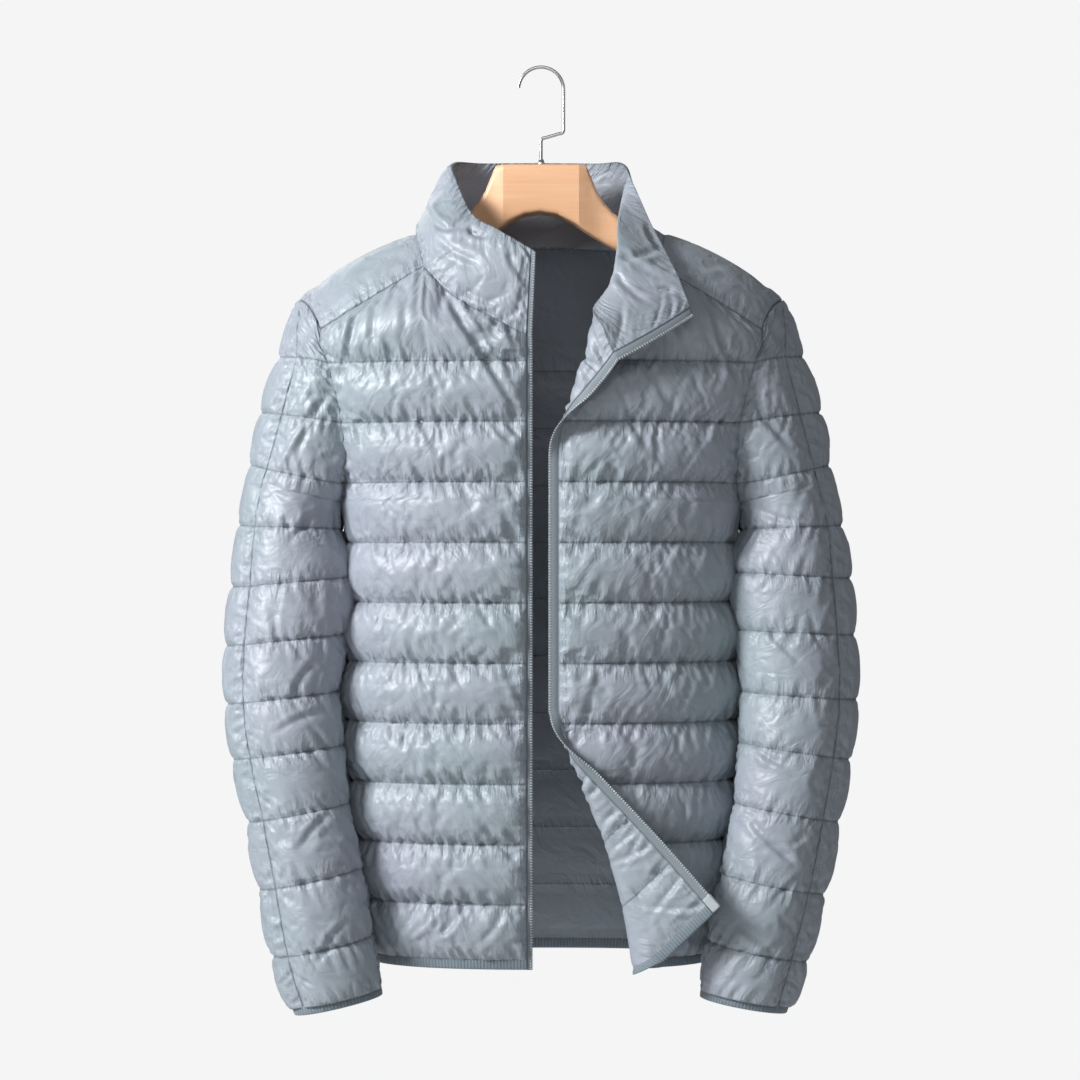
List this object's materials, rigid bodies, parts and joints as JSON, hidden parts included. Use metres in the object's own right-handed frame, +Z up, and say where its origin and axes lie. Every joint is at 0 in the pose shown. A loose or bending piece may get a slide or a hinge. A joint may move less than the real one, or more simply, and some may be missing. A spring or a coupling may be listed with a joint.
{
  "type": "puffer jacket on a hanger",
  "caption": "Light quilted puffer jacket with a stand collar, open full-length zip and bound hem and cuffs, hanging on a wooden hanger with a stepped wire hook.",
  "frame": {"origin": "inside top of the hanger's hook, where the rail carries it", "axes": "+Z up, the jacket's front faces -Y, the wearer's left is +X"},
  "size_m": [0.6048, 0.2572, 0.9001],
  "materials": {
    "shell_fabric": "silver blue-grey calendered nylon with a satin shine",
    "binding": "matt elastic binding",
    "zip_tape": "woven tape with fine moulded teeth",
    "zip_hardware": "painted slider and retainer box",
    "hanger_wood": "clear satin lacquer",
    "hanger_wire": "bright plated wire"
  },
  "bodies": {
    "root": {"back": "shell_fabric", "front_right": "shell_fabric", "front_left": "shell_fabric", "yoke_right": "shell_fabric", "yoke_left": "shell_fabric", "sleeve_front_right": "shell_fabric", "sleeve_back_right": "shell_fabric", "sleeve_front_left": "shell_fabric", "sleeve_back_left": "shell_fabric", "collar": "shell_fabric", "hem_binding": "binding", "cuff_binding_right": "binding", "cuff_binding_left": "binding", "zip_tape_right": "zip_tape", "zip_tape_left": "zip_tape", "zip_box": "zip_hardware", "hanger_wood": "hanger_wood", "hanger_hook": "hanger_wire"}
  },
  "joints": []
}
